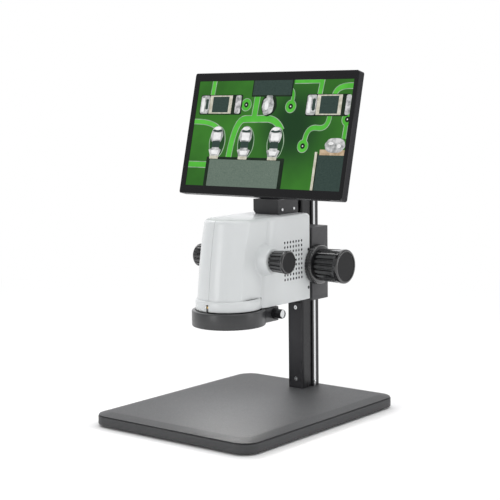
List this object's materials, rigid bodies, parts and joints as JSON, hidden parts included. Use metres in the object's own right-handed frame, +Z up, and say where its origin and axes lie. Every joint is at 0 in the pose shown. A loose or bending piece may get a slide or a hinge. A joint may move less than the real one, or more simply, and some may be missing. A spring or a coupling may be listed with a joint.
{
  "type": "digital inspection microscope",
  "caption": "Digital inspection microscope on a rack column stand, with a zoom head, ring light and a tilting monitor.",
  "frame": {"origin": "centre of the base, on the surface it stands on", "axes": "+Z up along the column, +X to the right as seen by the user, -Y towards the user"},
  "size_m": [0.2716, 0.32, 0.4508],
  "materials": {
    "powder_coat": "matt",
    "rubber": "matt",
    "anodised_black": "satin",
    "black_plastic": "matt",
    "black_steel": "satin",
    "bright_steel": "satin",
    "matt_black": "matt",
    "brass": "satin",
    "knob_plastic": "semi-gloss",
    "cast_aluminium": "satin",
    "white_plastic": "satin",
    "lens_glass": "coated",
    "circuit_board": "satin",
    "led_board": "satin",
    "diffuser": "satin",
    "sheet_black": "satin",
    "monitor_plastic": "satin",
    "screen_picture": "gloss",
    "black_glass": "gloss"
  },
  "bodies": {
    "stand": {"base_plate": "powder_coat", "rubber_feet": "rubber", "column": "anodised_black", "column_cap": "black_plastic", "column_bolts": "black_steel", "focus_rack": "black_steel", "rack_screws": "bright_steel", "guide_strip_left": "bright_steel", "guide_strip_right": "bright_steel", "guide_strip_screws": "bright_steel"},
    "head": {"focus_block": "matt_black", "block_cap_top": "matt_black", "block_cap_bottom": "matt_black", "block_cap_screws": "black_steel", "gib_left": "brass", "gib_right": "brass", "focus_bush_left": "brass", "focus_bush_right": "brass", "focus_collar_left": "matt_black", "tension_hub": "black_steel", "head_screws": "black_steel", "head_chassis": "cast_aluminium", "shell_left": "white_plastic", "shell_right": "white_plastic", "shell_screws": "black_steel", "base_collar": "white_plastic", "contact_pin": "brass", "objective_barrel": "anodised_black", "objective_lens": "lens_glass", "guide_rods": "bright_steel", "sensor_board": "circuit_board", "main_board": "circuit_board", "heat_sink": "cast_aluminium", "ring_housing": "matt_black", "ring_led_board": "led_board", "ring_diffuser": "diffuser", "monitor_bracket": "sheet_black", "bracket_screws": "bright_steel", "tilt_pin": "bright_steel"},
    "tension_ring": {"tension_ring": "matt_black"},
    "focus_drive": {"focus_shaft": "bright_steel", "focus_pinion": "bright_steel", "focus_knob_left": "knob_plastic", "focus_knob_right": "knob_plastic", "focus_knob_caps": "black_plastic"},
    "zoom_drive": {"zoom_shaft": "bright_steel", "zoom_pinion": "brass", "zoom_knob_left": "knob_plastic", "zoom_knob_right": "knob_plastic"},
    "lower_lens_cell": {"lens_carrier_lower": "black_plastic", "zoom_lenses_lower": "lens_glass"},
    "upper_lens_cell": {"lens_carrier_upper": "black_plastic", "zoom_lenses_upper": "lens_glass"},
    "power_button": {"power_button": "black_plastic"},
    "dimmer_knob": {"dimmer_knob": "knob_plastic"},
    "ring_thumbscrew": {"ring_thumbscrew": "black_steel"},
    "monitor": {"monitor_hinge_plate": "sheet_black", "monitor_cover": "monitor_plastic", "lcd_panel": "screen_picture", "monitor_glass": "black_glass"}
  },
  "joints": [
    {"name": "focus_slide", "type": "slide", "parent": "stand", "child": "head", "axis": [0, 0, 1], "range_m": [-0.05, 0.11]},
    {"name": "focus_turn", "type": "hinge", "parent": "head", "child": "focus_drive", "pos_m": [0, 0.1006, 0.19395], "axis": [1, 0, 0], "range_deg": [-1051.42, 478.46]},
    {"name": "tension_turn", "type": "hinge", "parent": "head", "child": "tension_ring", "pos_m": [0.044, 0.1006, 0.19395], "axis": [1, 0, 0], "range_deg": [-60, 60]},
    {"name": "zoom_turn", "type": "hinge", "parent": "head", "child": "zoom_drive", "pos_m": [0, -0.0056, 0.2098], "axis": [1, 0, 0], "range_deg": [-107, 107]},
    {"name": "lower_cell_slide", "type": "slide", "parent": "head", "child": "lower_lens_cell", "axis": [0, 0, 1], "range_m": [-0.009, 0.009]},
    {"name": "upper_cell_slide", "type": "slide", "parent": "head", "child": "upper_lens_cell", "axis": [0, 0, 1], "range_m": [-0.009, 0.009]},
    {"name": "power_press", "type": "slide", "parent": "head", "child": "power_button", "axis": [1, 0, 0], "range_m": [0, 0.0015], "stiffness_N_per_m": 500, "springref_m": -0.0015},
    {"name": "dimmer_turn", "type": "hinge", "parent": "head", "child": "dimmer_knob", "pos_m": [-0.044, 0.048, 0.246], "axis": [1, 0, 0], "range_deg": [-135, 135]},
    {"name": "ring_screw_turn", "type": "hinge", "parent": "head", "child": "ring_thumbscrew", "pos_m": [0.046, 0.008, 0.1398], "axis": [1, 0, 0], "range_deg": [0, 720]},
    {"name": "monitor_tilt", "type": "hinge", "parent": "head", "child": "monitor", "pos_m": [0, 0.06959, 0.33023], "axis": [1, 0, 0], "range_deg": [-16, 6]}
  ],
  "couplings": [
    {"joint": "focus_turn", "follows": "focus_slide", "rad_per_m": -166.67},
    {"joint": "lower_cell_slide", "follows": "zoom_turn", "m_per_rad": -0.0048},
    {"joint": "upper_cell_slide", "follows": "zoom_turn", "m_per_rad": 0.0048}
  ]
}
